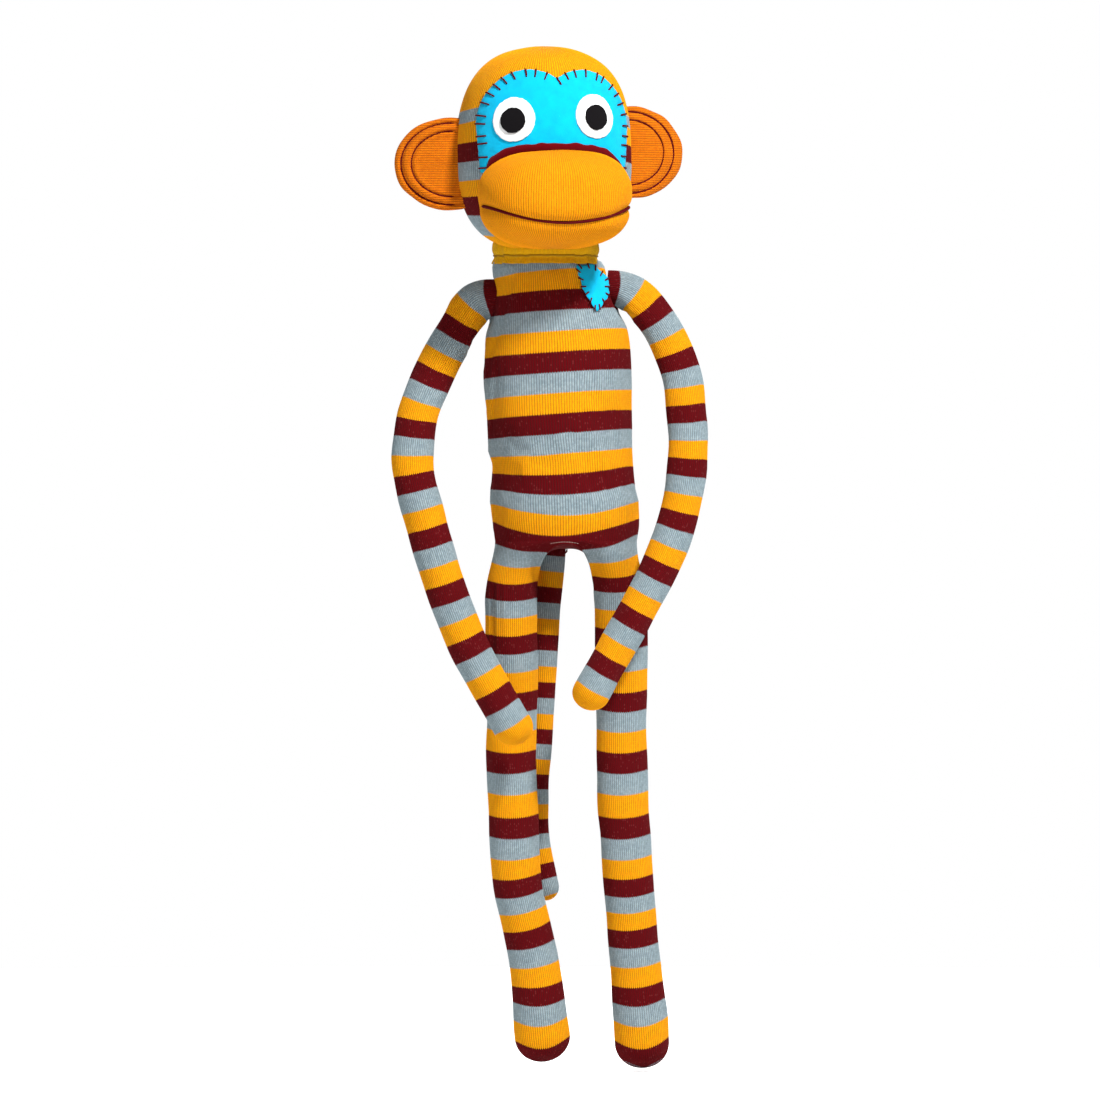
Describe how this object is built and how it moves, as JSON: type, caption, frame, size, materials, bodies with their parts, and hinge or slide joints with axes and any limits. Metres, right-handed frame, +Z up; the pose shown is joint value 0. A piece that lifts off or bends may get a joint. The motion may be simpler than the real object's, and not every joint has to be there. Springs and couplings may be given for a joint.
{
  "type": "sock monkey doll",
  "caption": "Stuffed sock monkey doll in striped knit, with a felt face, round ears, long jointed arms and legs, and a tail.",
  "frame": {"origin": "middle of the flat stretch of the doll's back", "axes": "+Z up along the doll towards the head, +Y out of the back, so the doll faces -Y; its own right side is -X"},
  "size_m": [0.2099, 0.1406, 0.6646],
  "materials": {
    "striped_knit": "striped cotton sock knit in orange, maroon and grey",
    "orange_knit": "orange cotton sock knit",
    "neck_knit": "smooth yellow-orange cotton knit",
    "blue_felt": "light blue craft felt",
    "maroon_felt": "maroon craft felt",
    "white_felt": "white craft felt",
    "black_felt": "black craft felt",
    "dark_thread": "dark maroon sewing thread",
    "stuffing": "polyester fibre stuffing"
  },
  "bodies": {
    "torso": {"torso_cover": "striped_knit", "torso_stuffing": "stuffing", "crotch_stitching": "dark_thread", "tail_stitching": "dark_thread", "chest_patch": "blue_felt", "patch_stitching": "dark_thread"},
    "neck": {"neck_band": "neck_knit", "neck_stuffing": "stuffing", "neck_thread": "dark_thread"},
    "head": {"head_cover": "striped_knit", "head_stuffing": "stuffing", "muzzle_cover": "orange_knit", "muzzle_stuffing": "stuffing", "mouth_line": "dark_thread", "muzzle_trim": "maroon_felt", "face_mask": "blue_felt", "mask_stitching": "dark_thread", "right_eye_white": "white_felt", "right_pupil": "black_felt", "left_eye_white": "white_felt", "left_pupil": "black_felt"},
    "tail_base": {"tail_base_cover": "striped_knit", "tail_base_stuffing": "stuffing"},
    "tail_tip": {"tail_tip_cover": "striped_knit", "tail_tip_stuffing": "stuffing"},
    "right_ear": {"right_ear_cover": "orange_knit", "right_ear_padding": "stuffing", "right_ear_stitching": "dark_thread"},
    "right_shoulder": {"right_shoulder_wad": "stuffing"},
    "right_upper_arm": {"right_upper_arm_cover": "striped_knit", "right_upper_arm_stuffing": "stuffing"},
    "right_forearm": {"right_forearm_cover": "striped_knit", "right_forearm_stuffing": "stuffing"},
    "right_hip": {"right_hip_wad": "stuffing"},
    "right_thigh": {"right_thigh_cover": "striped_knit", "right_thigh_stuffing": "stuffing"},
    "right_shin": {"right_shin_cover": "striped_knit", "right_shin_stuffing": "stuffing"},
    "left_ear": {"left_ear_cover": "orange_knit", "left_ear_padding": "stuffing", "left_ear_stitching": "dark_thread"},
    "left_shoulder": {"left_shoulder_wad": "stuffing"},
    "left_upper_arm": {"left_upper_arm_cover": "striped_knit", "left_upper_arm_stuffing": "stuffing"},
    "left_forearm": {"left_forearm_cover": "striped_knit", "left_forearm_stuffing": "stuffing"},
    "left_hip": {"left_hip_wad": "stuffing"},
    "left_thigh": {"left_thigh_cover": "striped_knit", "left_thigh_stuffing": "stuffing"},
    "left_shin": {"left_shin_cover": "striped_knit", "left_shin_stuffing": "stuffing"}
  },
  "joints": [
    {"name": "neck_turn", "type": "hinge", "parent": "torso", "child": "neck", "pos_m": [-0.01, -0.042, 0.097], "axis": [0, 0, 1], "range_deg": [-45, 45]},
    {"name": "head_nod", "type": "hinge", "parent": "neck", "child": "head", "pos_m": [-0.01, -0.042, 0.097], "axis": [1, 0, 0], "range_deg": [-15, 12]},
    {"name": "right_ear_fold", "type": "hinge", "parent": "head", "child": "right_ear", "pos_m": [-0.07528, -0.06549, 0.1565], "axis": [0, 0, -1], "range_deg": [-30, 40]},
    {"name": "right_shoulder_swing", "type": "hinge", "parent": "torso", "child": "right_shoulder", "pos_m": [-0.0555, -0.038, 0.0665], "axis": [-1, 0, 0], "range_deg": [0, 90]},
    {"name": "right_shoulder_raise", "type": "hinge", "parent": "right_shoulder", "child": "right_upper_arm", "pos_m": [-0.0555, -0.038, 0.0665], "axis": [0, 1, 0], "range_deg": [0, 60]},
    {"name": "right_elbow_bend", "type": "hinge", "parent": "right_upper_arm", "child": "right_forearm", "pos_m": [-0.0991, -0.05362, -0.0254], "axis": [-1, 0, 0], "range_deg": [0, 95]},
    {"name": "right_hip_swing", "type": "hinge", "parent": "torso", "child": "right_hip", "pos_m": [-0.031, -0.038, -0.1075], "axis": [-1, 0, 0], "range_deg": [0, 95]},
    {"name": "right_hip_spread", "type": "hinge", "parent": "right_hip", "child": "right_thigh", "pos_m": [-0.031, -0.038, -0.1075], "axis": [0, 1, 0], "range_deg": [0, 45]},
    {"name": "right_knee_bend", "type": "hinge", "parent": "right_thigh", "child": "right_shin", "pos_m": [-0.0322, -0.038, -0.262], "axis": [0.766, 0.6428, 0], "range_deg": [0, 90]},
    {"name": "left_ear_fold", "type": "hinge", "parent": "head", "child": "left_ear", "pos_m": [0.04795, -0.03057, 0.165], "axis": [0, 0, 1], "range_deg": [-30, 40]},
    {"name": "left_shoulder_swing", "type": "hinge", "parent": "torso", "child": "left_shoulder", "pos_m": [0.044, -0.038, 0.073], "axis": [-1, 0, 0], "range_deg": [0, 90]},
    {"name": "left_shoulder_raise", "type": "hinge", "parent": "left_shoulder", "child": "left_upper_arm", "pos_m": [0.044, -0.038, 0.073], "axis": [0, -1, 0], "range_deg": [0, 45]},
    {"name": "left_elbow_bend", "type": "hinge", "parent": "left_upper_arm", "child": "left_forearm", "pos_m": [0.0832, -0.05196, -0.0091], "axis": [-1, 0, 0], "range_deg": [0, 95]},
    {"name": "left_hip_swing", "type": "hinge", "parent": "torso", "child": "left_hip", "pos_m": [0.0354, -0.038, -0.1075], "axis": [-1, 0, 0], "range_deg": [0, 95]},
    {"name": "left_hip_spread", "type": "hinge", "parent": "left_hip", "child": "left_thigh", "pos_m": [0.0354, -0.038, -0.1075], "axis": [0, -1, 0], "range_deg": [0, 45]},
    {"name": "left_knee_bend", "type": "hinge", "parent": "left_thigh", "child": "left_shin", "pos_m": [0.0396, -0.038, -0.262], "axis": [0.766, -0.6428, 0], "range_deg": [0, 90]},
    {"name": "tail_swing", "type": "hinge", "parent": "torso", "child": "tail_base", "pos_m": [-0.0065, -0.013, -0.0985], "axis": [1, 0, 0], "range_deg": [0, 80]},
    {"name": "tail_bend", "type": "hinge", "parent": "tail_base", "child": "tail_tip", "pos_m": [-0.015, -0.013, -0.215], "axis": [1, 0, 0], "range_deg": [0, 70]}
  ],
  "couplings": [
    {"joint": "right_elbow_bend", "follows": "right_hip_swing", "ratio": 1},
    {"joint": "left_elbow_bend", "follows": "left_hip_swing", "ratio": 1}
  ]
}
